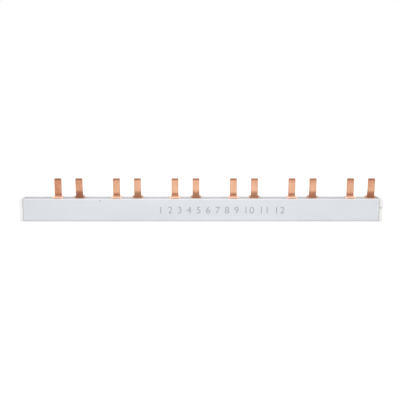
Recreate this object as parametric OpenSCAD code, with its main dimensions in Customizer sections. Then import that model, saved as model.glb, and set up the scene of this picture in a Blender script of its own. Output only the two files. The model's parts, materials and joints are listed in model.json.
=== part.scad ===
// Comb busbar for a row of two-pole devices.
// Two stamped copper combs stand side by side in one extruded insulating rail, with a
// moulded cap on each end. The rail rests on its base and the pins point up.
// X runs along the rail, -Y is the front and Z = 0 is the underside of the base.

/* [Pins] */
// Number of pin pairs, one pair for each two-pole device
pairs = 6; // [2:1:12]
// Distance from one pair to the next
pair_pitch = 35.6; // [34:0.1:38]
// Distance from the front pin to the back pin of one pair
pair_gap = 12.8; // [11:0.1:16]
// Width of a pin
pin_w = 4.1; // [3:0.1:5]
// Height of the pins above the rim of the rail
pin_reach = 11.9; // [10:0.1:16]
// Width of the foot's shoulder on each side of a pin
shoulder_w = 1.2; // [1.1:0.1:2.2]
// Height of the shoulders above the rim
shoulder_rise = 1; // [0.4:0.1:1.6]
// Radius in the corner between a shoulder and the pin
shoulder_r = 0.6; // [0.2:0.05:0.7]
// Radius on the outer corner of a shoulder
foot_corner_r = 0.4; // [0.1:0.05:0.5]
// Chamfer on the corners of each tip
tip_chamfer = 0.2; // [0.1:0.05:0.6]
// Height of the tapered lead-in at the tip
tip_lead = 1.1; // [0.4:0.1:2]
// How far the lead-in steps in on each face
tip_taper = 0.3; // [0.1:0.05:0.4]

/* [Copper] */
// Thickness of the copper strip
bar_t = 1.5; // [1:0.1:1.8]
// Height of the strip below the feet
strip_h = 7.5; // [6:0.1:9]
// Radius where a foot rises from the strip
root_r = 1; // [0.4:0.1:1.6]
// Inside radius of the bends, where the rise leaves room for it
bend_r = 3.5; // [0.2:0.1:6]
// How far the bends start below the rim
bend_drop = 0.5; // [0.3:0.1:0.8]
// Height over which the front pins step back to the middle
front_rise = 1.9; // [1.8:0.05:4]
// Height over which the back pins step forward to the middle
back_rise = 5.4; // [3:0.1:6]
// Distance of the copper from the left end of the rail
bar_setback = 1; // [0.5:0.1:4]
// Gap between the copper and the right end of the rail
bar_end_gap = 0.45; // [0.1:0.05:2]
// Distance from the last pin's middle to the right end of the copper
last_pin_inset = 3.9; // [3.6:0.1:8]

/* [Rail] */
// Length of the rail beyond the grid of the pairs
rail_extra = 2.4; // [0:0.1:4]
// Depth of the rail from front to back
rail_depth = 9; // [8.8:0.1:11]
// Height of the rail
rail_height = 14; // [12.5:0.1:18]
// Thickness of the outer walls
wall_t = 1.2; // [0.9:0.1:1.3]
// Thickness of the floor under the copper
floor_t = 1.2; // [0.8:0.1:2]
// Thickness of the web between the two combs
web_t = 1.4; // [1:0.1:1.6]
// How far the web ends below the rim
web_drop = 0.5; // [0.5:0.1:2]
// Diameter of the round bead along each rim
bead_d = 1.5; // [1.3:0.1:1.8]
// Radius of the long edges under the base
corner_r = 0.6; // [0.2:0.1:0.9]
// Height of each guide rib
rib_h = 0.8; // [0.5:0.1:1]
// Distance of the guide ribs from the strip's upper and lower edges
rib_inset = 1.6; // [1:0.1:2]

/* [End caps] */
// Thickness of the cap outside the rail
cap_t = 2.2; // [1.6:0.1:4]
// Thickness of the cap's own walls
cap_wall_t = 1; // [0.8:0.1:1.2]
// Radius around the cap's outer face
cap_edge_r = 0.5; // [0.2:0.1:0.8]
// Width of the shadow gap between cap and rail
seam_w = 0.3; // [0.1:0.05:0.5]
// Depth of the shadow gap
seam_depth = 0.25; // [0.1:0.05:0.4]
// Length of the tongues that slide into the rail
tongue_length = 6; // [4:0.5:12]
// Length of the lead-in at the end of a tongue
tongue_lead = 1.2; // [0.6:0.1:2]
// Diameter of the gate mark on the side of the cap
gate_d = 1.1; // [0.6:0.1:1.4]
// Height of the gate mark above the cap's face
gate_h = 0.3; // [0.2:0.05:0.5]
// Distance of the gate mark from the rail
gate_x = 1; // [0.9:0.1:1.2]
// Height of the gate mark above the base
gate_z = 8.6; // [5:0.1:10]

/* [Fits] */
// Clearance of the copper from the web and from the guide ribs
bar_clearance = 0.1; // [0.05:0.01:0.2]
// Clearance around the cap's tongues
tongue_clearance = 0.1; // [0.05:0.01:0.2]

/* [Hidden] */
$fn = 64;
arc_steps = 10;

rail_length = pairs * pair_pitch + rail_extra;
channel_w = (rail_depth - 2 * wall_t - web_t) / 2;
bead_r = bead_d / 2;
web_top = rail_height - web_drop;
strip_top = floor_t + strip_h;
rib_reach = channel_w - bar_t - 2 * bar_clearance;
low_rib_z = floor_t + rib_inset;
high_rib_z = strip_top - rib_inset;

bar_left = bar_setback - rail_length / 2;
bar_right = rail_length / 2 - bar_end_gap;
bar_offset = web_t / 2 + bar_clearance + bar_t / 2;
foot_w = pin_w + 2 * shoulder_w;
foot_top = rail_height + shoulder_rise;
bend_start = rail_height - bend_drop;
tip_z = rail_height + pin_reach;
first_back_pin = bar_right - last_pin_inset - (pairs - 1) * pair_pitch;
first_front_pin = first_back_pin - pair_gap;

pocket_depth = cap_t - cap_wall_t;
tongue_in = web_t / 2 + bar_clearance + bar_t + tongue_clearance;
tongue_out = rail_depth / 2 - wall_t - tongue_clearance;
tongue_low = low_rib_z + rib_h / 2 + 2 * tongue_clearance;
tongue_high = high_rib_z - rib_h / 2 - 2 * tongue_clearance;
tongue_taper = (tongue_out - tongue_in) / 4;

// Points on an arc about centre c, from angle a0 to angle a1
function arc(c, r, a0, a1) = [
    for (i = [0 : arc_steps])
        let (a = a0 + (a1 - a0) * i / arc_steps)
        c + r * [cos(a), sin(a)]
];

// A step is two equal bends with a straight between them. Its bends are as large as
// the rise leaves room for, up to the asked inside radius.
function step_radius(rise) =
    min(bend_r + bar_t / 2, (rise * rise + bar_offset * bar_offset) / (4 * bar_offset));

function step_straight(rise, r) =
    sqrt(max(0, rise * rise + bar_offset * bar_offset - 4 * r * bar_offset));

function step_angle(rise, r) =
    atan2(2 * r, step_straight(rise, r)) - atan2(2 * r - bar_offset, rise);

// Stands an outline drawn across the rail, as (Y, Z), along X
module along_x(length) {
    rotate([90, 0, 90])
        linear_extrude(length)
            children();
}

// Stands an outline drawn in front view, as (X, Z), through the rail's depth
module through_depth() {
    rotate([90, 0, 0])
        linear_extrude(rail_depth, center = true)
            children();
}

// Both halves of an outline drawn on the +Y side
module both_sides() {
    children();
    mirror([1, 0])
        children();
}

// ---- Rail ----

module guide_rib(z) {
    nose_r = rib_h / 2;
    inner_face = rail_depth / 2 - wall_t;
    translate([inner_face - rib_reach + nose_r, z])
        circle(nose_r);
    translate([inner_face - rib_reach + nose_r, z - nose_r])
        square([rib_reach - nose_r + wall_t / 2, rib_h]);
}

module outer_wall() {
    translate([rail_depth / 2 - corner_r, corner_r])
        circle(corner_r);
    translate([rail_depth / 2 - wall_t, corner_r])
        square([wall_t, rail_height - corner_r - bead_r]);
    translate([rail_depth / 2 - bead_r, rail_height - bead_r])
        circle(bead_r);
}

module web() {
    translate([-web_t / 2, 0])
        square([web_t, web_top - web_t / 2]);
    translate([0, web_top - web_t / 2])
        circle(web_t / 2);
}

module rail_section() {
    floor_w = rail_depth - 2 * corner_r;
    translate([-floor_w / 2, 0])
        square([floor_w, floor_t]);
    web();
    both_sides() {
        outer_wall();
        guide_rib(low_rib_z);
        guide_rib(high_rib_z);
    }
}

module insulating_rail() {
    color([0.88, 0.885, 0.90])
        translate([-rail_length / 2, 0, 0])
            along_x(rail_length)
                rail_section();
}

// ---- Copper combs ----

// The bent strip seen from its end, on the +Y side of the web, as (Y, Z)
module bent_section(rise) {
    r = step_radius(rise);
    angle = step_angle(rise, r);
    half = bar_t / 2;
    lower = [bar_offset - r, bend_start];
    upper = [r, bend_start + rise];
    polygon(concat(
        [[bar_offset + half, floor_t]],
        arc(lower, r + half, 0, angle),
        arc(upper, r - half, 180 + angle, 180),
        [[half, tip_z - tip_lead], [half - tip_taper, tip_z]],
        [[tip_taper - half, tip_z], [-half, tip_z - tip_lead]],
        arc(upper, r + half, 180, 180 + angle),
        arc(lower, r - half, angle, 0),
        [[bar_offset - half, floor_t]]
    ));
}

// A block of width w up to height z, topped by a cove of radius r on each side
module coved_block(w, z, r) {
    difference() {
        translate([-w / 2, floor_t])
            square([w, z + r - floor_t]);
        for (side = [-1, 1])
            translate([side * w / 2, z + r])
                circle(r);
    }
}

// The foot under a pin, with its shoulders' outer corners rounded
module foot_outline() {
    for (side = [-1, 1])
        translate([side * (foot_w / 2 - foot_corner_r), foot_top - foot_corner_r])
            circle(foot_corner_r);
    translate([-foot_w / 2, floor_t])
        square([foot_w, foot_top - foot_corner_r - floor_t]);
    translate([foot_corner_r - foot_w / 2, floor_t])
        square([foot_w - 2 * foot_corner_r, foot_top - floor_t]);
}

// One pin with its foot, seen from the front, as (X, Z)
module pin_outline() {
    half = pin_w / 2;
    coved_block(foot_w + 2 * root_r, strip_top, root_r);
    foot_outline();
    coved_block(pin_w + 2 * shoulder_r, foot_top, shoulder_r);
    polygon([
        [-half, floor_t],
        [half, floor_t],
        [half, tip_z - tip_chamfer],
        [half - tip_chamfer, tip_z],
        [tip_chamfer - half, tip_z],
        [-half, tip_z - tip_chamfer]
    ]);
}

module comb_outline(first_pin) {
    translate([bar_left, floor_t])
        square([bar_right - bar_left, strip_h]);
    for (i = [0 : pairs - 1])
        translate([first_pin + i * pair_pitch, 0])
            pin_outline();
}

// A comb on the +Y side of the web. The strip's bent form is cut to the stamped outline.
module comb(first_pin, rise) {
    intersection() {
        translate([bar_left, 0, 0])
            along_x(bar_right - bar_left)
                bent_section(rise);
        through_depth()
            comb_outline(first_pin);
    }
}

module front_comb() {
    color([0.88, 0.64, 0.50])
        mirror([0, 1, 0])
            comb(first_front_pin, front_rise);
}

module back_comb() {
    color([0.84, 0.60, 0.46])
        comb(first_back_pin, back_rise);
}

// ---- End caps ----

// The closed outline of the rail's end, inset by m
module end_outline(m) {
    half = rail_depth / 2;
    low_r = max(corner_r - m, corner_r / 4);
    high_r = max(bead_r - m, bead_r / 4);
    translate([-half + m, low_r + m])
        square([2 * (half - m), rail_height - 2 * m - low_r - high_r]);
    translate([-half + m + low_r, m])
        square([2 * (half - m - low_r), rail_height / 2]);
    translate([-half + m + high_r, rail_height / 2])
        square([2 * (half - m - high_r), rail_height / 2 - m]);
    both_sides() {
        translate([half - m - low_r, low_r + m])
            circle(low_r);
        translate([half - m - high_r, rail_height - m - high_r])
            circle(high_r);
    }
}

// The cap's thickness along X against a width w across it, with its outer corners rounded
module cap_profile(w) {
    translate([0, -w / 2])
        square([cap_t - cap_edge_r, w]);
    translate([0, -w / 2 + cap_edge_r])
        square([cap_t, w - 2 * cap_edge_r]);
    for (side = [-1, 1])
        translate([cap_t - cap_edge_r, side * (w / 2 - cap_edge_r)])
            circle(cap_edge_r);
}

module cap_body() {
    intersection() {
        union() {
            along_x(cap_t)
                end_outline(seam_depth);
            translate([seam_w, 0, 0])
                along_x(cap_t - seam_w)
                    end_outline(0);
        }
        linear_extrude(rail_height)
            cap_profile(rail_depth);
        translate([0, 0, rail_height / 2])
            through_depth()
                cap_profile(rail_height);
    }
}

// A tapered tongue that slides between the copper and the outer wall, between the ribs
module tongue() {
    translate([0, 0, tongue_low])
        linear_extrude(tongue_high - tongue_low)
            polygon([
                [pocket_depth + cap_wall_t / 2, tongue_in],
                [pocket_depth + cap_wall_t / 2, tongue_out],
                [tongue_lead - tongue_length, tongue_out],
                [-tongue_length, tongue_out - tongue_taper],
                [-tongue_length, tongue_in + tongue_taper],
                [tongue_lead - tongue_length, tongue_in]
            ]);
}

// A cap for the right end. The left cap is the same moulding, turned round.
module end_cap() {
    color([0.925, 0.925, 0.915])
        translate([rail_length / 2, 0, 0]) {
            difference() {
                cap_body();
                translate([-1, 0, 0])
                    along_x(pocket_depth + 1)
                        end_outline(cap_wall_t);
            }
            tongue();
            mirror([0, 1, 0])
                tongue();
            translate([gate_x, -rail_depth / 2 + cap_wall_t / 2, gate_z])
                rotate([90, 0, 0])
                    cylinder(d = gate_d, h = gate_h + cap_wall_t / 2);
        }
}

module left_end_cap() {
    rotate([0, 0, 180])
        end_cap();
}

module right_end_cap() {
    end_cap();
}

insulating_rail();
front_comb();
back_comb();
left_end_cap();
right_end_cap();
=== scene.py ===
import json
import math

import bmesh
import bpy
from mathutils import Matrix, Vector


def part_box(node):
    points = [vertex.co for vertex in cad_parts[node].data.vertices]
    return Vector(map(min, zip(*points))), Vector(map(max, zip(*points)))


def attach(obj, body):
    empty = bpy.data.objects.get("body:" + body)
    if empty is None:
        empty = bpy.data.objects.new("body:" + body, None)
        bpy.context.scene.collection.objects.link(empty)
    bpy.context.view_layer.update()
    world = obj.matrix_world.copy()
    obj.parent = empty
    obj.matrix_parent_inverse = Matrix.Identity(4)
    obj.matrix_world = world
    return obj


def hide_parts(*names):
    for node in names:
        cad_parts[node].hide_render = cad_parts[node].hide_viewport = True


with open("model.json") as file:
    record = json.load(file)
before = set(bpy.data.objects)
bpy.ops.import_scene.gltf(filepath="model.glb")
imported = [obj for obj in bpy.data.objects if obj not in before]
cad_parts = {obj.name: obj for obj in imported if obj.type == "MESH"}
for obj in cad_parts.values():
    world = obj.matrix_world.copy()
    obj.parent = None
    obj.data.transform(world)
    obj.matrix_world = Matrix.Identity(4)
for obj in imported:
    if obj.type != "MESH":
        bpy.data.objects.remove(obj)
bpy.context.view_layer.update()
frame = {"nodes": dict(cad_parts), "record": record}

MM = 0.001
PIN_WIDTH = 4.1 * MM

rail_low, rail_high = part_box("insulating_rail")
mounts = {mount["name"]: Vector(mount["pos_m"]) for mount in frame["record"]["mounts"]}
first_front = mounts["front_pin_1"].x
first_back = mounts["back_pin_1"].x
pin_pitch = mounts["front_pin_2"].x - first_front
pin_count = sum("_pin_" in name for name in mounts)
rim = rail_high.z
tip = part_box("front_comb")[1].z
gate_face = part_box("right_end_cap")[0].y


def new_object(name, data):
    """An object that stands in the scene."""
    made = bpy.data.objects.new(name, data)
    bpy.context.scene.collection.objects.link(made)
    return made


# ---- camera ----

LENS = 63.27
SENSOR_WIDTH = 36
NEAREST_SIGHT = 0.01
CAMERA_AIM = Vector((-0.7, 0, 12.5)) * MM
CAMERA_DISTANCE = 430 * MM
CAMERA_ELEVATION = math.radians(11.35)


def place_camera():
    """Square to the rail and slightly above it."""
    data = bpy.data.cameras.new("camera")
    data.lens = LENS
    data.sensor_width = SENSOR_WIDTH
    data.clip_start = NEAREST_SIGHT
    camera = new_object("camera", data)
    outward = Vector((0, -math.cos(CAMERA_ELEVATION), math.sin(CAMERA_ELEVATION)))
    camera.location = CAMERA_AIM + CAMERA_DISTANCE * outward
    camera.rotation_euler = (math.pi / 2 - CAMERA_ELEVATION, 0, 0)
    bpy.context.scene.camera = camera


# ---- node helpers ----

def plug(tree, socket, value):
    """Links an output to a socket, or gives the socket a plain value."""
    if isinstance(value, bpy.types.NodeSocket):
        tree.links.new(value, socket)
    else:
        socket.default_value = value


def add_node(tree, kind, settings=None, **inputs):
    """A node with its settings, whose inputs are values or other nodes' outputs."""
    node = tree.nodes.new(kind)
    for name, value in (settings or {}).items():
        setattr(node, name, value)
    for name, value in inputs.items():
        plug(tree, node.inputs[name.replace("_", " ")], value)
    return node


def calc(tree, operation, *values):
    """The result of a Math node."""
    node = add_node(tree, "ShaderNodeMath", {"operation": operation})
    for socket, value in zip(node.inputs, values):
        plug(tree, socket, value)
    return node.outputs[0]


def times(tree, first, second):
    """Two values multiplied."""
    return calc(tree, "MULTIPLY", first, second)


def fade(tree, value, start, end, low=0.0, high=1.0):
    """A smooth change from low to high as value goes from start to end."""
    node = add_node(
        tree, "ShaderNodeMapRange", {"interpolation_type": "SMOOTHSTEP"},
        Value=value, From_Min=start, From_Max=end, To_Min=low, To_Max=high)
    return node.outputs["Result"]


def tint(tree, amount, first, second):
    """Two colours mixed by amount."""
    node = add_node(tree, "ShaderNodeMix", {"data_type": "RGBA"})
    plug(tree, node.inputs[0], amount)
    plug(tree, node.inputs[6], first)
    plug(tree, node.inputs[7], second)
    return node.outputs[2]


def coat(tree, under, over, mask, strength):
    """One colour laid over another where the mask is."""
    return tint(tree, times(tree, mask, strength), under, over)


def object_place(tree):
    """Where a point lies on the object, in metres."""
    return tree.nodes.new("ShaderNodeTexCoord").outputs["Object"]


def axes(tree, vector):
    """The X, Y and Z of a vector."""
    return add_node(tree, "ShaderNodeSeparateXYZ", Vector=vector).outputs


def stretched(tree, vector, x=1, y=1, z=1):
    """Coordinates that draw a pattern out along each axis whose scale is below 1."""
    node = add_node(tree, "ShaderNodeMapping", Vector=vector)
    node.inputs["Scale"].default_value = (x, y, z)
    return node.outputs["Vector"]


def noise(tree, vector, scale, detail=2.0, roughness=0.5):
    """Soft noise around one half."""
    node = add_node(
        tree, "ShaderNodeTexNoise", Vector=vector, Scale=scale, Detail=detail, Roughness=roughness)
    return node.outputs[0]


def bump(tree, height, distance):
    """A normal that leans as a relief of this height would."""
    return add_node(tree, "ShaderNodeBump", Height=height, Distance=distance).outputs["Normal"]


# ---- shared effects ----

def new_group(name, inputs, outputs):
    """An empty node group, the sockets it is given and the sockets it puts out."""
    group = bpy.data.node_groups.new(name, "ShaderNodeTree")
    for label, kind, default in inputs:
        socket = group.interface.new_socket(label, in_out="INPUT", socket_type=kind)
        if default is not None:
            socket.default_value = default
    for label in outputs:
        group.interface.new_socket(label, in_out="OUTPUT", socket_type="NodeSocketFloat")
    return group, group.nodes.new("NodeGroupInput").outputs, group.nodes.new("NodeGroupOutput").inputs


def make_drawn_lines():
    """Fine lines left by drawing or rolling, and the broader bands that they lie in."""
    group, given, out = new_group(
        "drawn lines",
        [("Vector", "NodeSocketVector", None), ("Fineness", "NodeSocketFloat", 1.0)],
        ["Lines", "Bands"],
    )
    broad = times(group, given["Fineness"], 0.16)
    fine = noise(group, given["Vector"], given["Fineness"], detail=4.0, roughness=0.65)
    plug(group, out["Lines"], fine)
    plug(group, out["Bands"], noise(group, given["Vector"], broad))
    return group


def make_specks():
    """Small scattered specks, some stronger than others."""
    group, given, out = new_group(
        "specks",
        [
            ("Vector", "NodeSocketVector", None),
            ("Scale", "NodeSocketFloat", 500.0),
            ("Size", "NodeSocketFloat", 0.12),
            ("Share", "NodeSocketFloat", 0.2),
        ],
        ["Mask"],
    )
    cells = add_node(group, "ShaderNodeTexVoronoi", Vector=given["Vector"], Scale=given["Scale"])
    speck = fade(group, cells.outputs["Distance"], given["Size"], 0.0)
    chance = add_node(group, "ShaderNodeSeparateColor", Color=cells.outputs["Color"]).outputs
    kept = calc(group, "LESS_THAN", chance[0], given["Share"])
    plug(group, out["Mask"], times(group, speck, times(group, kept, chance[1])))
    return group


def make_spot():
    """A soft mark with a ragged outline about one point."""
    group, given, out = new_group(
        "spot",
        [
            ("Vector", "NodeSocketVector", None),
            ("Centre", "NodeSocketVector", (0.0, 0.0, 0.0)),
            ("Radius", "NodeSocketFloat", 0.001),
        ],
        ["Mask"],
    )
    gap = add_node(group, "ShaderNodeVectorMath", {"operation": "DISTANCE"})
    plug(group, gap.inputs[0], given["Vector"])
    plug(group, gap.inputs[1], given["Centre"])
    wobble = noise(group, given["Vector"], scale=1500.0)
    reach = times(group, given["Radius"], calc(group, "ADD", wobble, 0.5))
    plug(group, out["Mask"], fade(group, gap.outputs["Value"], reach, times(group, reach, 0.3)))
    return group


def make_pin_grid():
    """Where a point lies across the pin beside it, from -1 to 1, and a shade for each pin."""
    group, given, out = new_group(
        "pin grid",
        [
            ("Vector", "NodeSocketVector", None),
            ("First pin", "NodeSocketFloat", 0.0),
            ("Pitch", "NodeSocketFloat", pin_pitch),
            ("Half width", "NodeSocketFloat", PIN_WIDTH / 2),
        ],
        ["Across", "Shade"],
    )
    from_first = calc(group, "SUBTRACT", axes(group, given["Vector"])["X"], given["First pin"])
    step = calc(group, "DIVIDE", from_first, given["Pitch"])
    number = calc(group, "ROUND", step)
    offset = times(group, calc(group, "SUBTRACT", step, number), given["Pitch"])
    plug(group, out["Across"], calc(group, "DIVIDE", offset, given["Half width"]))
    shade = add_node(group, "ShaderNodeTexWhiteNoise", {"noise_dimensions": "1D"}, W=number)
    plug(group, out["Shade"], shade.outputs["Value"])
    return group


def make_band():
    """A mask over a range of values, with a soft edge below and another above."""
    group, given, out = new_group(
        "band",
        [
            ("Value", "NodeSocketFloat", 0.0),
            ("Low", "NodeSocketFloat", 0.0),
            ("High", "NodeSocketFloat", 1.0),
            ("Below", "NodeSocketFloat", 0.1),
            ("Above", "NodeSocketFloat", 0.1),
        ],
        ["Mask"],
    )
    start = calc(group, "SUBTRACT", given["Low"], given["Below"])
    end = calc(group, "ADD", given["High"], given["Above"])
    rising = fade(group, given["Value"], start, given["Low"])
    falling = fade(group, given["Value"], end, given["High"])
    plug(group, out["Mask"], times(group, rising, falling))
    return group


def make_scratches():
    """Thin scratches in clusters, long in the direction that Along is drawn out."""
    group, given, out = new_group(
        "scratches",
        [
            ("Vector", "NodeSocketVector", None),
            ("Along", "NodeSocketVector", None),
            ("Fineness", "NodeSocketFloat", 5000.0),
            ("Cluster", "NodeSocketFloat", 120.0),
        ],
        ["Mask"],
    )
    thin = fade(group, noise(group, given["Along"], given["Fineness"]), 0.63, 0.72)
    patch = fade(group, noise(group, given["Vector"], given["Cluster"]), 0.42, 0.66)
    plug(group, out["Mask"], times(group, thin, patch))
    return group


DRAWN_LINES = make_drawn_lines()
SPECKS = make_specks()
SPOT = make_spot()
PIN_GRID = make_pin_grid()
BAND = make_band()
SCRATCHES = make_scratches()


def place_group(tree, group, **inputs):
    """One use of a shared effect, with its own values."""
    return add_node(tree, "ShaderNodeGroup", {"node_tree": group}, **inputs).outputs


def specks(tree, place, scale, size, share):
    """A mask of scattered specks."""
    return place_group(tree, SPECKS, Vector=place, Scale=scale, Size=size, Share=share)["Mask"]


def spot(tree, place, centre, radius):
    """A mask of one ragged mark."""
    return place_group(tree, SPOT, Vector=place, Centre=centre, Radius=radius)["Mask"]


def band(tree, value, span, below, above):
    """A mask over a span of values, with soft edges below and above it."""
    low, high = span
    return place_group(tree, BAND, Value=value, Low=low, High=high, Below=below, Above=above)["Mask"]


def new_material(name):
    """A material, its nodes and the sockets of its shader."""
    material = bpy.data.materials.new(name)
    material.use_nodes = True
    tree = material.node_tree
    return material, tree, tree.nodes["Principled BSDF"].inputs


# ---- rail plastic ----

RAIL_GREY = (0.730, 0.750, 0.783, 1)
PALE_RAIL_GREY = (0.760, 0.780, 0.813, 1)
BAND_GREY = (0.655, 0.685, 0.73, 1)
LINE_GREY = (0.635, 0.655, 0.69, 1)
RUB_GREY = (0.88, 0.89, 0.92, 1)
DUST_GREY = (0.45, 0.44, 0.43, 1)
NICK_GREY = (0.32, 0.31, 0.31, 1)
LOW_EDGE_SHADE_GREY = (0.50, 0.50, 0.52, 1)
FRONT_RIM_HIGHLIGHT_GREY = (0.90, 0.90, 0.92, 1)
BACK_RIM_SHADE_GREY = (0.48, 0.48, 0.49, 1)
SLOT_SHADE_GREY = (0.50, 0.50, 0.50, 1)
CUT_END_SHADE_GREY = (0.55, 0.54, 0.53, 1)

NICK_PLACE = (-61.2 * MM, rail_low.y + 0.1 * MM, rim - 1.05 * MM)
NICK_RADIUS = 0.65 * MM
LOW_EDGE = (0.25 * MM, 0.7 * MM)
FRONT_RIM_DEPTH = (rail_low.y + 1.5 * MM, rail_low.y + 0.9 * MM)
FRONT_RIM_HEIGHT = (rim - 0.5 * MM, rim - 0.15 * MM)
BACK_RIM_DEPTH = (rail_high.y - 1.5 * MM, rail_high.y - 0.9 * MM)
BACK_RIM_HEIGHT = (rim - 0.6 * MM, rim - 0.2 * MM)
SLOT_WALL = (rail_high.y - 1.1 * MM, rail_high.y - 1.25 * MM)
SLOT_FLOOR = (1 * MM, 3 * MM)
CUT_END = (rail_high.x - 0.7 * MM, rail_high.x)
RAIL_RELIEF = 0.028 * MM


def extruded_grey(tree, place, cloud, lines, rubs):
    """Cloudy light grey with lines along the rail, rub marks, dust and one nick."""
    dust = specks(tree, place, scale=420.0, size=0.11, share=0.18)
    nick = spot(tree, place, NICK_PLACE, NICK_RADIUS)
    grey = tint(tree, fade(tree, cloud, 0.3, 0.7), RAIL_GREY, PALE_RAIL_GREY)
    grey = coat(tree, grey, BAND_GREY, lines["Bands"], strength=0.10)
    grey = coat(tree, grey, LINE_GREY, fade(tree, lines["Lines"], 0.35, 0.7), strength=0.16)
    grey = coat(tree, grey, RUB_GREY, rubs, strength=0.30)
    grey = coat(tree, grey, DUST_GREY, dust, strength=0.35)
    return coat(tree, grey, NICK_GREY, nick, strength=0.65)


def shade_rail_edges(tree, place, grey):
    """Painted shade above the lower edges, in the slot, on the back rim and beside the ends, and a
    painted highlight on the front rim.
    """
    at = axes(tree, place)
    # Painted shade: darker just above the rounded lower edges.
    low_edge = band(tree, at["Z"], LOW_EDGE, below=0.2 * MM, above=0.4 * MM)
    # Painted highlight: the top of the front rim made paler.
    front_rim = times(
        tree, fade(tree, at["Y"], *FRONT_RIM_DEPTH), fade(tree, at["Z"], *FRONT_RIM_HEIGHT))
    # Painted shade: the top of the back rim made darker.
    back_rim = times(
        tree, fade(tree, at["Y"], *BACK_RIM_DEPTH), fade(tree, at["Z"], *BACK_RIM_HEIGHT))
    # Painted shade on the inner walls of the slot.
    slot = times(
        tree, fade(tree, calc(tree, "ABSOLUTE", at["Y"]), *SLOT_WALL),
        fade(tree, at["Z"], *SLOT_FLOOR))
    # Painted shade on the rail beside its seam with each cap.
    cut_end = fade(tree, calc(tree, "ABSOLUTE", at["X"]), *CUT_END)
    grey = coat(tree, grey, LOW_EDGE_SHADE_GREY, low_edge, strength=0.35)
    grey = coat(tree, grey, FRONT_RIM_HIGHLIGHT_GREY, front_rim, strength=0.5)
    grey = coat(tree, grey, BACK_RIM_SHADE_GREY, back_rim, strength=0.4)
    grey = coat(tree, grey, SLOT_SHADE_GREY, slot, strength=0.14)
    return coat(tree, grey, CUT_END_SHADE_GREY, cut_end, strength=0.35)


def rail_plastic():
    """Cool light grey extruded plastic, with faint lines along its length."""
    material, tree, shader = new_material("rail_plastic")
    place = object_place(tree)
    lines = place_group(tree, DRAWN_LINES, Vector=stretched(tree, place, x=0.012), Fineness=1800.0)
    cloud = noise(tree, stretched(tree, place, x=0.35), scale=90.0, detail=3.0)
    rubs = place_group(
        tree, SCRATCHES, Vector=place, Along=stretched(tree, place, x=0.03), Fineness=4200.0)["Mask"]
    grey = extruded_grey(tree, place, cloud, lines, rubs)
    plug(tree, shader["Base Color"], shade_rail_edges(tree, place, grey))
    satin = fade(tree, cloud, 0.2, 0.8, low=0.32, high=0.44)
    plug(tree, shader["Roughness"], calc(tree, "ADD", satin, times(tree, rubs, 0.15)))
    relief = calc(tree, "SUBTRACT", lines["Lines"], times(tree, rubs, 0.4))
    plug(tree, shader["Normal"], bump(tree, relief, RAIL_RELIEF))
    return material


# ---- cap plastic ----

CAP_WHITE = (0.90, 0.90, 0.885, 1)
PALE_CAP_WHITE = (0.93, 0.93, 0.915, 1)
SCUFF_WHITE = (0.74, 0.73, 0.70, 1)
CAP_DUST = (0.5, 0.48, 0.44, 1)
GATE_GREY = (0.40, 0.36, 0.32, 1)
SEAM_SHADE_GREY = (0.36, 0.34, 0.31, 1)

GATE_PLACE = (rail_high.x + 0.8 * MM, gate_face, 8.6 * MM)
GATE_RADIUS = 0.75 * MM
SEAM = (-8 * MM, 0.25 * MM)
CAP_RELIEF = 0.014 * MM


def mark_cap(tree, place, white):
    """A grey gate mark on each cap, and painted shade on its tongues and in its seam."""
    at = axes(tree, place)
    outward = calc(tree, "ABSOLUTE", at["X"])
    gate_side = times(tree, at["Y"], calc(tree, "SIGN", at["X"]))
    turned = add_node(tree, "ShaderNodeCombineXYZ", X=outward, Y=gate_side, Z=at["Z"])
    gate = spot(tree, turned.outputs["Vector"], GATE_PLACE, GATE_RADIUS)
    # Painted shade in the seam between cap and rail, and on the tongues inside the rail.
    from_rail = calc(tree, "SUBTRACT", outward, rail_high.x)
    seam = band(tree, from_rail, SEAM, below=0.1 * MM, above=0.15 * MM)
    white = coat(tree, white, GATE_GREY, gate, strength=0.9)
    return coat(tree, white, SEAM_SHADE_GREY, seam, strength=0.5)


def cap_plastic():
    """Warm off-white moulded plastic with a fine spark-eroded texture."""
    material, tree, shader = new_material("cap_plastic")
    place = object_place(tree)
    cloud = noise(tree, place, scale=260.0, detail=3.0)
    grain = noise(tree, place, scale=5200.0)
    dust = specks(tree, place, scale=700.0, size=0.10, share=0.10)
    scuffs = place_group(
        tree, SCRATCHES, Vector=place, Along=stretched(tree, place, y=0.05), Fineness=4200.0)["Mask"]
    white = tint(tree, fade(tree, cloud, 0.3, 0.7), CAP_WHITE, PALE_CAP_WHITE)
    white = coat(tree, white, SCUFF_WHITE, scuffs, strength=0.20)
    white = coat(tree, white, CAP_DUST, dust, strength=0.25)
    plug(tree, shader["Base Color"], mark_cap(tree, place, white))
    plug(tree, shader["Roughness"], fade(tree, grain, 0.3, 0.7, low=0.42, high=0.55))
    plug(tree, shader["Normal"], bump(tree, grain, CAP_RELIEF))
    return material


# ---- copper ----

BRIGHT_COPPER = (0.855, 0.512, 0.34, 1)
DULL_COPPER = (0.785, 0.43, 0.275, 1)
TARNISH_AND_SHADE_COPPER = (0.61, 0.262, 0.145, 1)
BURNISH_AND_HIGHLIGHT_COPPER = (0.95, 0.64, 0.48, 1)
SHOULDER_HIGHLIGHT_COPPER = (0.92, 0.715, 0.60, 1)
BEND_BROWN = (0.49, 0.19, 0.103, 1)
FOLD_SHADE_BROWN = (0.30, 0.115, 0.06, 1)
SHEARED_AND_REFLECTION_BROWN = (0.34, 0.15, 0.09, 1)
PATINA_BROWN = (0.30, 0.155, 0.085, 1)

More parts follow.
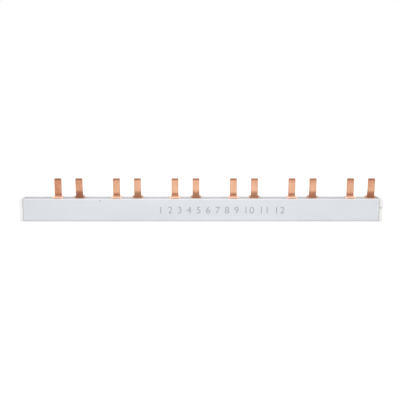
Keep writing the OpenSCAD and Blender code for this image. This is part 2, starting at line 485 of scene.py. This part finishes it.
SHORT_BEND = (rim + 1.5 * MM, rim + 1.7 * MM)
TALL_BEND = (rim - 0.8 * MM, rim + 3.1 * MM)
LEDGE = (rim - 0.8 * MM, rim + 1.3 * MM)
FOLD_LINE = (rim + 1.45 * MM, rim + 1.85 * MM)
SLOT_ENTRY = (rim + 0.5 * MM, rim)
SHOULDER_TOP = (rim + 1.3 * MM, rim + 0.9 * MM)
BLADE_START = (rim + 1.2 * MM, rim + 2.2 * MM)
HANDLED_HEIGHT = (tip - 1.9 * MM, tip - 1.4 * MM)
SHEAR_LINE = (tip - 1.3 * MM, tip - 1.0 * MM)
LEFT_TARNISH = (-30 * MM, -92 * MM)
RIGHT_TARNISH = (35 * MM, 110 * MM)
LEFT_HANDLING = (-60 * MM, -90 * MM)
RIGHT_HANDLING = (15 * MM, 50 * MM)
WANDER = 0.8 * MM
COPPER_RELIEF = 0.022 * MM


def rolled_copper(tree, grid, streaks, blotch):
    """Bright copper with dull blotches, a shade for each pin and lines along the pins."""
    colour = coat(tree, BRIGHT_COPPER, DULL_COPPER, fade(tree, blotch, 0.35, 0.75), strength=0.6)
    colour = coat(tree, colour, DULL_COPPER, grid["Shade"], strength=0.25)
    colour = coat(tree, colour, DULL_COPPER, fade(tree, streaks["Bands"], 0.4, 0.75), strength=0.35)
    return coat(
        tree, colour, TARNISH_AND_SHADE_COPPER, fade(tree, streaks["Lines"], 0.4, 0.7), strength=0.22)


def tarnish_film(tree, at, blotch):
    """A mask of the tarnish, which grows towards both ends of the bar."""
    left = fade(tree, at["X"], *LEFT_TARNISH)
    right = fade(tree, at["X"], *RIGHT_TARNISH, high=0.5)
    cover = fade(tree, blotch, 0.2, 0.7, low=0.5, high=1.0)
    return times(tree, calc(tree, "MAXIMUM", left, right), cover)


def tarnish(tree, place, film, colour):
    """Tarnish with darker spots of patina in it."""
    spots = fade(tree, noise(tree, place, scale=620.0), 0.56, 0.70, high=0.55)
    colour = tint(tree, film, colour, TARNISH_AND_SHADE_COPPER)
    return coat(tree, colour, PATINA_BROWN, spots, strength=film)


def mark_short_bend(tree, at, bend, colour):
    """Painted shade in the hollow of the bend, a painted highlight on the ledge under it and a
    painted shade line along the fold.
    """
    ledge = band(tree, at["Z"], LEDGE, below=0.3 * MM, above=0.2 * MM)
    fold = band(tree, at["Z"], FOLD_LINE, below=0.1 * MM, above=0.2 * MM)
    # Painted shade in the hollow above the ledge.
    colour = tint(tree, bend, colour, BEND_BROWN)
    # Painted highlight on the upward-facing ledge.
    colour = coat(tree, colour, BURNISH_AND_HIGHLIGHT_COPPER, ledge, strength=0.8)
    # Painted shade along the crease of the fold.
    return coat(tree, colour, FOLD_SHADE_BROWN, fold, strength=0.6)


def mark_foot(tree, at, across, slot_shade_strength, colour):
    """Painted shade where the foot enters the slot, and a painted highlight on the shoulders."""
    entry = fade(tree, at["Z"], *SLOT_ENTRY)
    shoulder = times(tree, fade(tree, across, 1.0, 1.2), fade(tree, at["Z"], *SHOULDER_TOP))
    # Painted shade where the foot goes down into the slot under the rim.
    colour = coat(tree, colour, TARNISH_AND_SHADE_COPPER, entry, slot_shade_strength)
    # Painted highlight on the flared shoulders of the foot.
    return coat(tree, colour, SHOULDER_HIGHLIGHT_COPPER, shoulder, strength=0.85)


def mark_tip(tree, at, crease, sheared, streaks, film, colour):
    """A brown tip, partly the duller sheared metal and partly a painted dark reflection, and tarnish
    below it on the pins near the ends of the bar.
    """
    handled = band(tree, crease, HANDLED_HEIGHT, below=1.4 * MM, above=0.4 * MM)
    left = fade(tree, at["X"], *LEFT_HANDLING, high=0.7)
    right = fade(tree, at["X"], *RIGHT_HANDLING, high=0.42)
    # Brown tip colour: partly the sheared metal's own duller tone and partly a painted dark
    # reflection.
    tip_brown = tint(tree, film, BEND_BROWN, SHEARED_AND_REFLECTION_BROWN)
    tip_brown_cover = fade(tree, streaks["Lines"], 0.3, 0.7, low=0.72, high=0.95)
    colour = coat(
        tree, colour, TARNISH_AND_SHADE_COPPER, handled, strength=calc(tree, "MAXIMUM", left, right))
    return coat(tree, colour, tip_brown, sheared, strength=tip_brown_cover)


def mark_blade_edges(tree, at, across, colour):
    """Tarnish along both edges of a blade, and browner stamped sides."""
    blade = fade(tree, at["Z"], *BLADE_START)
    edge = fade(tree, across, 0.84, 0.98, high=0.5)
    side = fade(tree, across, 0.97, 1.0, high=0.5)
    colour = coat(tree, colour, TARNISH_AND_SHADE_COPPER, edge, strength=blade)
    return coat(tree, colour, BEND_BROWN, side, strength=blade)


def copper_roughness(tree, blotch, streaks, sheared, bend, bend_roughness):
    """Rougher in the blotches, the lines, the sheared tips and the bends."""
    rough = fade(tree, blotch, 0.3, 0.75, low=0.27, high=0.39)
    rough = calc(tree, "ADD", rough, fade(tree, streaks["Lines"], 0.3, 0.7, high=0.06))
    rough = calc(tree, "ADD", rough, times(tree, sheared, 0.15))
    return calc(tree, "ADD", rough, times(tree, bend, bend_roughness))


def copper(name, first_pin, bend_span, bend_roughness, slot_shade_strength, short_bend):
    """Bare rolled copper, with painted shade and highlights at its bends and feet, and sheared tips
    with a painted dark reflection.
    """
    material, tree, shader = new_material(name)
    place = object_place(tree)
    at = axes(tree, place)
    grid = place_group(tree, PIN_GRID, Vector=place, First_pin=first_pin)
    across = calc(tree, "ABSOLUTE", grid["Across"])
    streaks = place_group(tree, DRAWN_LINES, Vector=stretched(tree, place, z=0.05), Fineness=1500.0)
    scores = place_group(
        tree, SCRATCHES, Vector=place, Along=stretched(tree, place, z=0.04),
        Fineness=4800.0, Cluster=260.0)["Mask"]
    blotch = noise(tree, place, scale=330.0, detail=4.0, roughness=0.6)
    wander = times(tree, calc(tree, "SUBTRACT", blotch, 0.5), WANDER)
    height = calc(tree, "ADD", at["Z"], wander)
    crease = calc(tree, "ADD", at["Z"], times(tree, wander, 0.25))
    bend = band(tree, height, bend_span, below=0.2 * MM, above=2.3 * MM)
    sheared = fade(tree, crease, *SHEAR_LINE)
    film = tarnish_film(tree, at, blotch)

    colour = rolled_copper(tree, grid, streaks, blotch)
    colour = tarnish(tree, place, film, colour)
    colour = coat(tree, colour, BURNISH_AND_HIGHLIGHT_COPPER, scores, strength=0.45)
    if short_bend:
        colour = mark_short_bend(tree, at, bend, colour)
    colour = mark_foot(tree, at, across, slot_shade_strength, colour)
    colour = mark_tip(tree, at, crease, sheared, streaks, film, colour)
    plug(tree, shader["Base Color"], mark_blade_edges(tree, at, across, colour))

    shader["Metallic"].default_value = 1.0
    rough = copper_roughness(tree, blotch, streaks, sheared, bend, bend_roughness)
    plug(tree, shader["Roughness"], rough)
    relief = calc(tree, "SUBTRACT", streaks["Lines"], times(tree, scores, 0.5))
    plug(tree, shader["Normal"], bump(tree, relief, COPPER_RELIEF))
    return material


# ---- marking ink ----

INK_GREY = (0.36, 0.38, 0.40, 1)
THIN_INK_GREY = (0.44, 0.46, 0.49, 1)


def number_ink():
    """Thin grey marking ink, patchy where the line is lightly printed."""
    material, tree, shader = new_material("number_ink")
    patch = noise(tree, object_place(tree), scale=1100.0, detail=3.0)
    ink = tint(tree, fade(tree, patch, 0.35, 0.7), INK_GREY, THIN_INK_GREY)
    plug(tree, shader["Base Color"], ink)
    shader["Roughness"].default_value = 0.6
    return material


# ---- pieces ----

SHARP_TURN = math.radians(28)
FLAT_TURN = math.radians(0.1)
FACET_MERGE = 0.028 * MM
WELD_MERGE = 0.001 * MM
PLASTIC_ROUNDING = 0.10 * MM
COPPER_ROUNDING = 0.06 * MM
SHORTEST_EDGE = 0.15 * MM
SHORTEST_CAP_EDGE = 6.0 * MM


def mark_edges(work, shortest):
    """Long outer edges are to be rounded, and the other turns stay crisp."""
    weight = work.edges.layers.float.new("bevel_weight_edge")
    for edge in work.edges:
        if edge.calc_face_angle(0) > SHARP_TURN:
            rounded = edge.is_convex and edge.calc_length() > shortest
            edge[weight] = float(rounded)
            edge.smooth = rounded


def clean_copy(node, name, shortest):
    """A copy of a solid's mesh, with whole flat faces and its long edges marked."""
    mesh = frame["nodes"][node].data.copy()
    mesh.name = name
    mesh.shade_smooth()
    work = bmesh.new()
    work.from_mesh(mesh)
    bmesh.ops.remove_doubles(work, verts=work.verts, dist=FACET_MERGE)
    bmesh.ops.dissolve_limit(work, angle_limit=FLAT_TURN, verts=work.verts, edges=work.edges)
    mark_edges(work, shortest)
    work.to_mesh(mesh)
    work.free()
    return mesh


def finished_object(name, mesh, finish):
    """An object that wears one finish."""
    mesh.materials.clear()
    mesh.materials.append(finish)
    return new_object(name, mesh)


def round_edges(piece, width):
    """Rounds the marked edges and keeps the faces beside them even."""
    rounding = piece.modifiers.new("edges", "BEVEL")
    rounding.width = width
    rounding.segments = 2
    rounding.limit_method = "WEIGHT"
    rounding.use_clamp_overlap = False
    weld = piece.modifiers.new("weld", "WELD")
    weld.merge_threshold = WELD_MERGE
    shading = piece.modifiers.new("even shading", "WEIGHTED_NORMAL")
    shading.weight = 100
    shading.keep_sharp = True


def dress(node, name, finish, rounding, shortest):
    """Puts a finished piece with slightly rounded long edges in the place of a solid."""
    piece = finished_object(name, clean_copy(node, name, shortest), finish)
    round_edges(piece, rounding)
    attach(piece, "root")
    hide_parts(node)


# ---- printed numbers ----

NUMBER_SIZE = 6.0 * MM
NUMBER_SPACING = 1.18
NUMBER_PLACE = (12.4 * MM, rail_low.y - 0.01 * MM, 6.9 * MM)
INK_HALF_THICKNESS = 0.01 * MM
STROKE_OFFSET = -0.02 * MM
CURVE_STEPS = 12
INK_MERGE = 0.0005 * MM


def row_of_numbers():
    """The row as text, standing on the front of the rail."""
    text = bpy.data.curves.new("row_numbers", "FONT")
    text.body = " ".join(str(number) for number in range(1, pin_count + 1))
    text.size = NUMBER_SIZE
    text.align_x = "CENTER"
    text.align_y = "CENTER"
    text.space_character = NUMBER_SPACING
    text.extrude = INK_HALF_THICKNESS
    text.offset = STROKE_OFFSET
    text.resolution_u = CURVE_STEPS
    row = new_object("row_numbers", text)
    row.location = NUMBER_PLACE
    row.rotation_euler = (math.pi / 2, 0, 0)
    bpy.context.view_layer.update()
    return row


def print_numbers(finish):
    """A row of plain numbers, one for each pin, as a thin layer of ink."""
    row = row_of_numbers()
    mesh = bpy.data.meshes.new_from_object(row.evaluated_get(bpy.context.evaluated_depsgraph_get()))
    mesh.transform(row.matrix_world)
    bpy.data.objects.remove(row)
    work = bmesh.new()
    work.from_mesh(mesh)
    bmesh.ops.remove_doubles(work, verts=work.verts, dist=INK_MERGE)
    work.to_mesh(mesh)
    work.free()
    printed = finished_object("printed_numbers", mesh, finish)
    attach(printed, "root")


# ---- studio ----

FLOOR_REACH = 6
FLOOR_GREY = (0.8, 0.8, 0.8, 1)
FLOOR_ROUGHNESS = 0.9
FLOOR_WHITE = 1.31
FLOOR_WHITE_SHARE = 0.6
ROOM_WHITE = (1, 1, 1, 1)
ROOM_LIGHT = 0.68
WALL_SHADE = 0.2
SOFTBOX_AIM = Vector((0, 0, 0.012))


def white_to_sight(tree, shaded, share):
    """Mixes in plain white for rays from the camera, from gloss and through glass."""
    path = tree.nodes.new("ShaderNodeLightPath").outputs
    seen = calc(tree, "MAXIMUM", path["Is Camera Ray"], path["Is Glossy Ray"])
    seen = calc(tree, "MAXIMUM", seen, path["Is Transmission Ray"])
    white = add_node(tree, "ShaderNodeEmission", Strength=FLOOR_WHITE)
    mix = add_node(tree, "ShaderNodeMixShader", Fac=times(tree, seen, share))
    tree.links.new(shaded, mix.inputs[1])
    tree.links.new(white.outputs[0], mix.inputs[2])
    return mix.outputs[0]


def lay_floor():
    """A wide pale card that shows the object's soft shadow."""
    mesh = bpy.data.meshes.new("floor")
    corners = [(x * FLOOR_REACH, y * FLOOR_REACH, 0) for x, y in ((-1, -1), (1, -1), (1, 1), (-1, 1))]
    mesh.from_pydata(corners, [], [(0, 1, 2, 3)])
    floor = new_object("floor", mesh)
    material, tree, shader = new_material("floor_card")
    shader["Base Color"].default_value = FLOOR_GREY
    shader["Roughness"].default_value = FLOOR_ROUGHNESS
    card = tree.nodes["Principled BSDF"].outputs[0]
    surface = tree.nodes["Material Output"].inputs["Surface"]
    tree.links.new(white_to_sight(tree, card, FLOOR_WHITE_SHARE), surface)
    mesh.materials.append(material)


def light_world():
    """A white room whose walls are a little darker, and its ceiling lighter, in reflections."""
    world = bpy.data.worlds.new("studio")
    bpy.context.scene.world = world
    world.use_nodes = True
    tree = world.node_tree
    background = tree.nodes["Background"].inputs
    background["Color"].default_value = ROOM_WHITE
    path = tree.nodes.new("ShaderNodeLightPath").outputs
    climb = axes(tree, tree.nodes.new("ShaderNodeTexCoord").outputs["Generated"])["Z"]
    wall = times(tree, fade(tree, climb, 0.0, 0.06), fade(tree, climb, 0.42, 0.30))
    ceiling = fade(tree, climb, 0.2, 0.6, low=1.0, high=1.15)
    mirrored = calc(tree, "SUBTRACT", ceiling, times(tree, wall, WALL_SHADE))
    sky = fade(tree, path["Is Glossy Ray"], 0.0, 1.0, low=ROOM_LIGHT, high=mirrored)
    seen = calc(tree, "MAXIMUM", path["Is Camera Ray"], path["Is Transmission Ray"])
    tree.links.new(fade(tree, seen, 0.0, 1.0, low=sky, high=1.0), background["Strength"])


def hang_softbox(name, location, size, watts):
    """A lamp above the bar that doesn't show in reflections."""
    data = bpy.data.lights.new(name, "AREA")
    data.shape = "RECTANGLE"
    data.size, data.size_y = size
    data.energy = watts
    lamp = new_object(name, data)
    lamp.location = location
    lamp.rotation_euler = (SOFTBOX_AIM - Vector(location)).to_track_quat("-Z", "Y").to_euler()
    lamp.visible_glossy = False


bpy.context.scene.view_settings.view_transform = "Standard"
place_camera()
lay_floor()
light_world()
hang_softbox("front softbox", location=(0, -0.25, 0.28), size=(0.20, 0.50), watts=0.68)
hang_softbox("back softbox", location=(0, 0.32, 0.24), size=(0.30, 0.30), watts=0.35)

plastic = rail_plastic()
cap_white = cap_plastic()
front_copper = copper(
    "front_copper", first_front, SHORT_BEND, bend_roughness=0.1, slot_shade_strength=0.75, short_bend=True)
back_copper = copper(
    "back_copper", first_back, TALL_BEND, bend_roughness=0.36, slot_shade_strength=0.25, short_bend=False)

dress("insulating_rail", "rail_extrusion", plastic, PLASTIC_ROUNDING, SHORTEST_EDGE)
dress("front_comb", "front_comb_strip", front_copper, COPPER_ROUNDING, SHORTEST_EDGE)
dress("back_comb", "back_comb_strip", back_copper, COPPER_ROUNDING, SHORTEST_EDGE)
dress(
    "left_end_cap", "left_cap_moulding", cap_white,
    PLASTIC_ROUNDING, SHORTEST_CAP_EDGE)
dress(
    "right_end_cap", "right_cap_moulding", cap_white,
    PLASTIC_ROUNDING, SHORTEST_CAP_EDGE)
print_numbers(number_ink())
